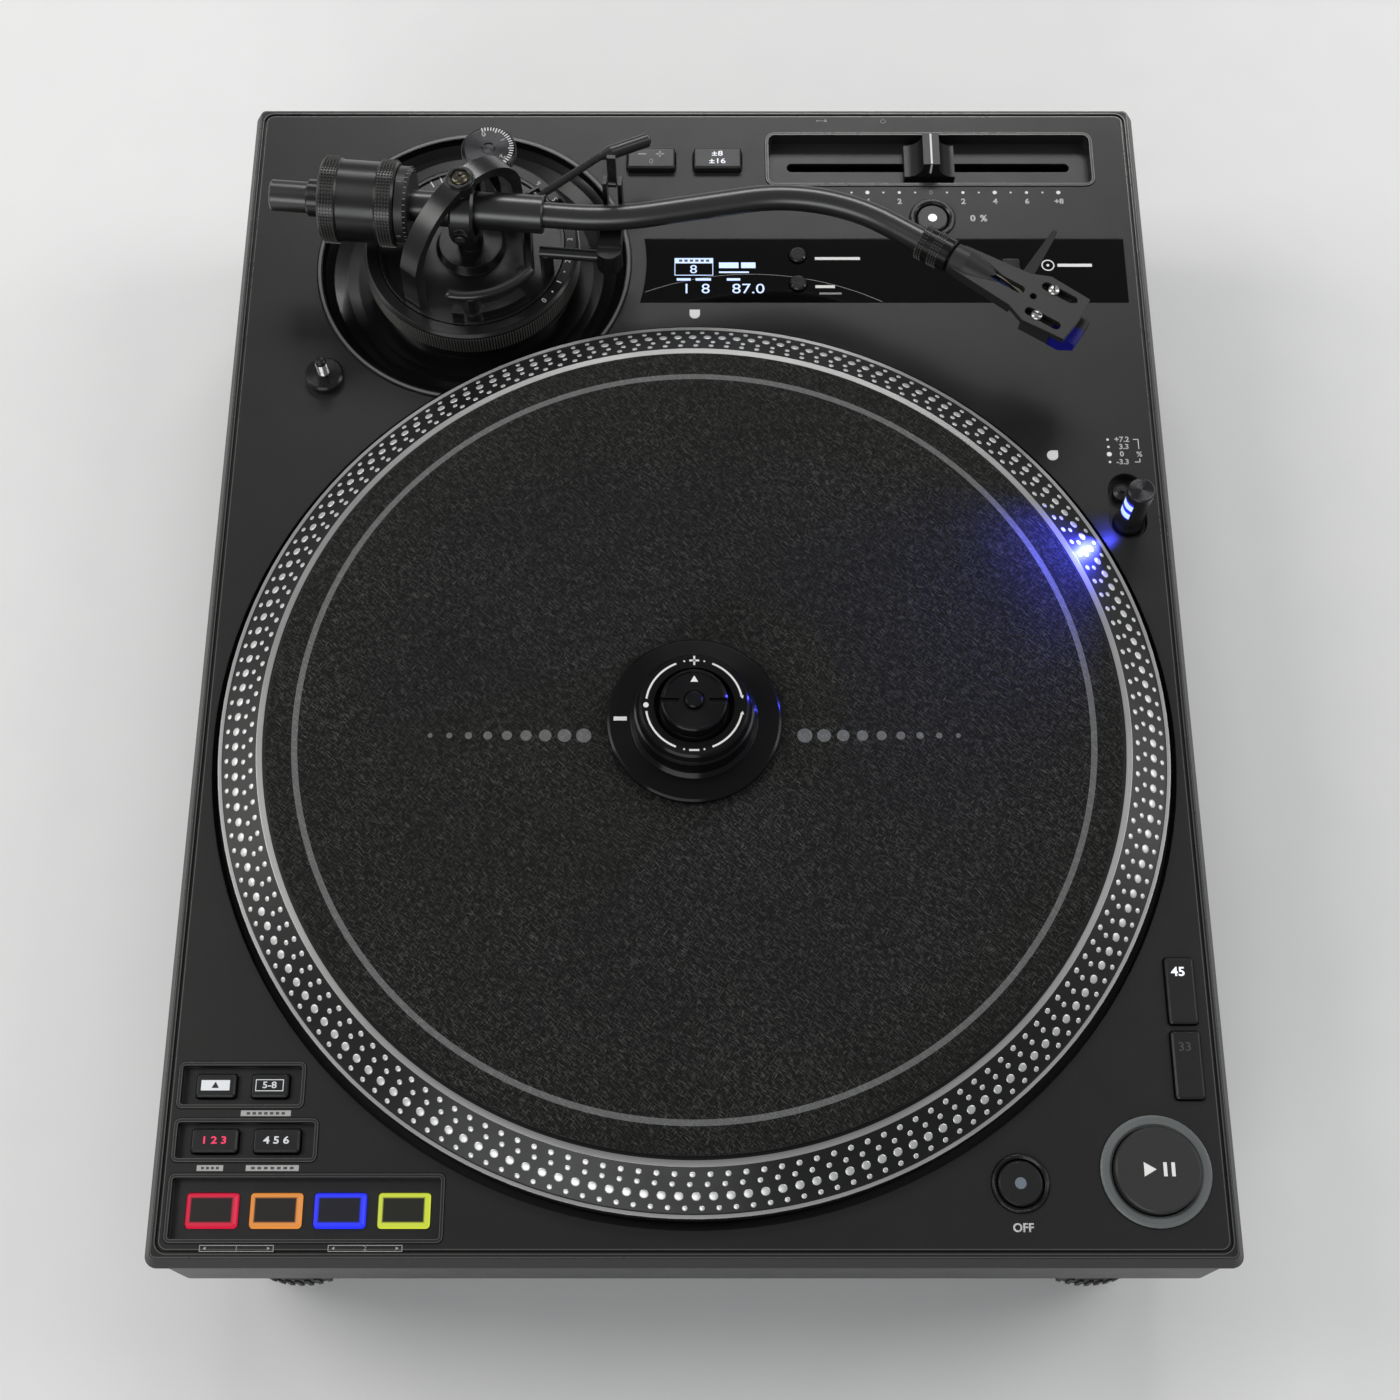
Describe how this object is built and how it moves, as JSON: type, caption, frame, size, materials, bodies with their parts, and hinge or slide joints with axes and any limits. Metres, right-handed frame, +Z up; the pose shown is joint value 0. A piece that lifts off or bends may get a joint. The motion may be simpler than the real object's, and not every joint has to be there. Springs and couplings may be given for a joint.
{
  "type": "dj turntable",
  "caption": "Direct-drive deck for mixing records: heavy low case, dotted platter with slipmat and clamp, S-shaped arm, pitch fader, lit pads and display.",
  "frame": {"origin": "middle of the case at table level, under the feet", "axes": "+X to the player's right, +Y away from the player, +Z up"},
  "size_m": [0.353, 0.453, 0.1564],
  "materials": {
    "case_black": "fine textured satin black paint",
    "pan_black": "textured matte black moulding",
    "foot_rubber": "matte black",
    "gloss_black": "gloss black window",
    "arm_black": "satin black",
    "arm_metal": "black anodised",
    "weight_black": "black coated steel",
    "moulded_black": "matte black moulding",
    "platter_metal": "black anodised casting with turned rings",
    "mat_felt": "grey black felt",
    "bright_steel": "polished steel",
    "magnet": "ferrite",
    "coil_copper": "enamelled copper coils on a board",
    "board_green": "circuit board",
    "lens_blue": "blue lamp window",
    "stylus_blue": "blue moulding",
    "cartridge_body": "black cartridge body",
    "key_black": "matte black key cap",
    "pad_red": "smoked key lit red at its edge",
    "pad_orange": "smoked key lit orange at its edge",
    "pad_blue": "smoked key lit blue at its edge",
    "pad_green": "smoked key lit yellow green at its edge",
    "socket_metal": "plated sockets"
  },
  "bodies": {
    "chassis": {"top_case": "case_black", "base_pan": "pan_black", "feet": "foot_rubber", "arm_well": "arm_black", "fader_tray": "moulded_black", "display_window": "gloss_black", "button_trays": "moulded_black", "button_rings": "arm_metal", "motor_stator": "coil_copper", "spindle_bearing": "bright_steel", "circuit_boards": "board_green", "strobe_tower": "arm_metal", "strobe_lens": "lens_blue", "accessory_stud": "arm_metal", "rear_panel": "moulded_black", "rear_jacks": "socket_metal"},
    "platter": {"platter": "platter_metal", "rotor_magnet": "magnet", "spindle": "bright_steel"},
    "slipmat": {"slipmat": "mat_felt"},
    "clamp": {"clamp_base": "arm_metal"},
    "clamp_dial": {"clamp_dial": "moulded_black"},
    "height_ring": {"height_ring": "arm_metal"},
    "arm_base": {"arm_base": "arm_black", "arm_arch": "arm_black", "arm_rest": "arm_black"},
    "antiskate_dial": {"antiskate_dial": "arm_metal"},
    "cue_lever": {"cue_lever": "arm_metal"},
    "lifter": {"lifter_bar": "arm_metal"},
    "rest_clip": {"rest_clip": "moulded_black"},
    "gimbal": {"gimbal_hoop": "arm_metal"},
    "tonearm": {"arm_hub": "arm_metal", "arm_tube": "arm_metal"},
    "collar_nut": {"collar_nut": "arm_metal"},
    "head_shell": {"headshell": "arm_metal", "cartridge": "cartridge_body", "stylus": "stylus_blue"},
    "weight_bush": {"weight_bush": "arm_metal"},
    "counterweight": {"counterweight": "weight_black"},
    "force_dial": {"force_dial": "moulded_black"},
    "pitch_fader": {"pitch_fader": "moulded_black"},
    "power_switch": {"power_switch": "moulded_black"},
    "start_stop_button": {"start_stop_button": "key_black"},
    "motor_off_button": {"motor_off_button": "key_black"},
    "pitch_reset_button": {"pitch_reset_button": "key_black"},
    "menu_button_upper": {"menu_button_upper": "key_black"},
    "menu_button_lower": {"menu_button_lower": "key_black"},
    "speed_45_button": {"speed_45_button": "key_black"},
    "speed_33_button": {"speed_33_button": "key_black"},
    "step_pitch_button": {"step_pitch_button": "key_black"},
    "tempo_range_button": {"tempo_range_button": "key_black"},
    "input_button": {"input_button": "key_black"},
    "shift_button": {"shift_button": "key_black"},
    "pad_bank_button": {"pad_bank_button": "key_black"},
    "pad_mode_button_left": {"pad_mode_button_left": "key_black"},
    "pad_mode_button_right": {"pad_mode_button_right": "key_black"},
    "pad_1": {"pad_1": "pad_red"},
    "pad_2": {"pad_2": "pad_orange"},
    "pad_3": {"pad_3": "pad_blue"},
    "pad_4": {"pad_4": "pad_green"}
  },
  "joints": [
    {"name": "platter_spin", "type": "hinge", "parent": "chassis", "child": "platter", "pos_m": [0, -0.0464, 0.1105], "axis": [0, 0, -1], "continuous": true},
    {"name": "slipmat_slip", "type": "hinge", "parent": "platter", "child": "slipmat", "pos_m": [0, -0.0464, 0.1105], "axis": [0, 0, -1], "continuous": true},
    {"name": "clamp_lift", "type": "slide", "parent": "platter", "child": "clamp", "axis": [0, 0, 1], "range_m": [0, 0.03]},
    {"name": "clamp_dial_turn", "type": "hinge", "parent": "clamp", "child": "clamp_dial", "pos_m": [0, -0.0464, 0.127], "axis": [0, 0, 1], "range_deg": [-45, 225]},
    {"name": "height_ring_turn", "type": "hinge", "parent": "chassis", "child": "height_ring", "pos_m": [-0.0854, 0.1515, 0.132], "axis": [0, 0, -1], "range_deg": [0, 300]},
    {"name": "arm_height", "type": "slide", "parent": "chassis", "child": "arm_base", "axis": [0, 0, 1], "range_m": [0, 0.006]},
    {"name": "antiskate_turn", "type": "hinge", "parent": "arm_base", "child": "antiskate_dial", "pos_m": [-0.07789, 0.17992, 0.1268], "axis": [0, 0, -1], "range_deg": [0, 270]},
    {"name": "cue_lift", "type": "hinge", "parent": "arm_base", "child": "cue_lever", "pos_m": [-0.0609, 0.1704, 0.1126], "axis": [0.5468, -0.8373, 0], "range_deg": [0, 45]},
    {"name": "lifter_rise", "type": "slide", "parent": "arm_base", "child": "lifter", "axis": [0, 0, 1], "range_m": [0, 0.0015]},
    {"name": "rest_clip_close", "type": "hinge", "parent": "arm_base", "child": "rest_clip", "pos_m": [-0.03024, 0.15671, 0.1409], "axis": [0.9962, -0.0872, 0], "range_deg": [0, 90]},
    {"name": "arm_swing", "type": "hinge", "parent": "arm_base", "child": "gimbal", "pos_m": [-0.0854, 0.1515, 0.132], "axis": [0, 0, -1], "range_deg": [0, 42]},
    {"name": "arm_tilt", "type": "hinge", "parent": "gimbal", "child": "tonearm", "pos_m": [-0.0854, 0.1515, 0.132], "axis": [-0.0872, -0.9962, 0], "range_deg": [0, 8]},
    {"name": "collar_turn", "type": "hinge", "parent": "tonearm", "child": "collar_nut", "pos_m": [0.09539, 0.13001, 0.132], "axis": [0.8387, -0.5446, 0], "range_deg": [0, 120]},
    {"name": "head_shell_release", "type": "slide", "parent": "tonearm", "child": "head_shell", "axis": [0.8387, -0.5446, 0], "range_m": [0, 0.012]},
    {"name": "weight_travel", "type": "slide", "parent": "tonearm", "child": "weight_bush", "axis": [-0.9962, 0.0872, 0], "range_m": [-0.002, 0.006]},
    {"name": "weight_turn", "type": "hinge", "parent": "weight_bush", "child": "counterweight", "pos_m": [-0.11001, 0.15365, 0.132], "axis": [-0.9962, 0.0872, 0], "range_deg": [-360, 1080]},
    {"name": "force_dial_turn", "type": "hinge", "parent": "counterweight", "child": "force_dial", "pos_m": [-0.11001, 0.15365, 0.132], "axis": [-0.9962, 0.0872, 0], "range_deg": [0, 360]},
    {"name": "pitch_slide", "type": "slide", "parent": "chassis", "child": "pitch_fader", "axis": [1, 0, 0], "range_m": [-0.05, 0.05]},
    {"name": "power_switch_rock", "type": "hinge", "parent": "chassis", "child": "power_switch", "pos_m": [0.075, 0.21, 0.067], "axis": [-1, 0, 0], "range_deg": [0, 16]},
    {"name": "start_stop_button_press", "type": "slide", "parent": "chassis", "child": "start_stop_button", "axis": [0, 0, -1], "range_m": [0, 0.0008], "stiffness_N_per_m": 1500, "springref_m": -0.0003},
    {"name": "motor_off_button_press", "type": "slide", "parent": "chassis", "child": "motor_off_button", "axis": [0, 0, -1], "range_m": [0, 0.0008], "stiffness_N_per_m": 1500, "springref_m": -0.0003},
    {"name": "pitch_reset_button_press", "type": "slide", "parent": "chassis", "child": "pitch_reset_button", "axis": [0, 0, -1], "range_m": [0, 0.0008], "stiffness_N_per_m": 1500, "springref_m": -0.0003},
    {"name": "menu_button_upper_press", "type": "slide", "parent": "chassis", "child": "menu_button_upper", "axis": [0, 0, -1], "range_m": [0, 0.0008], "stiffness_N_per_m": 1500, "springref_m": -0.0003},
    {"name": "menu_button_lower_press", "type": "slide", "parent": "chassis", "child": "menu_button_lower", "axis": [0, 0, -1], "range_m": [0, 0.0008], "stiffness_N_per_m": 1500, "springref_m": -0.0003},
    {"name": "speed_45_button_press", "type": "slide", "parent": "chassis", "child": "speed_45_button", "axis": [0, 0, -1], "range_m": [0, 0.0008], "stiffness_N_per_m": 1500, "springref_m": -0.0003},
    {"name": "speed_33_button_press", "type": "slide", "parent": "chassis", "child": "speed_33_button", "axis": [0, 0, -1], "range_m": [0, 0.0008], "stiffness_N_per_m": 1500, "springref_m": -0.0003},
    {"name": "step_pitch_button_press", "type": "slide", "parent": "chassis", "child": "step_pitch_button", "axis": [0, 0, -1], "range_m": [0, 0.0008], "stiffness_N_per_m": 1500, "springref_m": -0.0003},
    {"name": "tempo_range_button_press", "type": "slide", "parent": "chassis", "child": "tempo_range_button", "axis": [0, 0, -1], "range_m": [0, 0.0008], "stiffness_N_per_m": 1500, "springref_m": -0.0003},
    {"name": "input_button_press", "type": "slide", "parent": "chassis", "child": "input_button", "axis": [0, 0, -1], "range_m": [0, 0.0008], "stiffness_N_per_m": 1500, "springref_m": -0.0003},
    {"name": "shift_button_press", "type": "slide", "parent": "chassis", "child": "shift_button", "axis": [0, 0, -1], "range_m": [0, 0.0008], "stiffness_N_per_m": 1500, "springref_m": -0.0003},
    {"name": "pad_bank_button_press", "type": "slide", "parent": "chassis", "child": "pad_bank_button", "axis": [0, 0, -1], "range_m": [0, 0.0008], "stiffness_N_per_m": 1500, "springref_m": -0.0003},
    {"name": "pad_mode_button_left_press", "type": "slide", "parent": "chassis", "child": "pad_mode_button_left", "axis": [0, 0, -1], "range_m": [0, 0.0008], "stiffness_N_per_m": 1500, "springref_m": -0.0003},
    {"name": "pad_mode_button_right_press", "type": "slide", "parent": "chassis", "child": "pad_mode_button_right", "axis": [0, 0, -1], "range_m": [0, 0.0008], "stiffness_N_per_m": 1500, "springref_m": -0.0003},
    {"name": "pad_1_press", "type": "slide", "parent": "chassis", "child": "pad_1", "axis": [0, 0, -1], "range_m": [0, 0.0008], "stiffness_N_per_m": 1500, "springref_m": -0.0003},
    {"name": "pad_2_press", "type": "slide", "parent": "chassis", "child": "pad_2", "axis": [0, 0, -1], "range_m": [0, 0.0008], "stiffness_N_per_m": 1500, "springref_m": -0.0003},
    {"name": "pad_3_press", "type": "slide", "parent": "chassis", "child": "pad_3", "axis": [0, 0, -1], "range_m": [0, 0.0008], "stiffness_N_per_m": 1500, "springref_m": -0.0003},
    {"name": "pad_4_press", "type": "slide", "parent": "chassis", "child": "pad_4", "axis": [0, 0, -1], "range_m": [0, 0.0008], "stiffness_N_per_m": 1500, "springref_m": -0.0003}
  ],
  "couplings": [
    {"joint": "height_ring_turn", "follows": "arm_height", "rad_per_m": 872.6},
    {"joint": "cue_lift", "follows": "lifter_rise", "rad_per_m": 523.5},
    {"joint": "weight_travel", "follows": "weight_turn", "m_per_rad": 0.00031831}
  ]
}
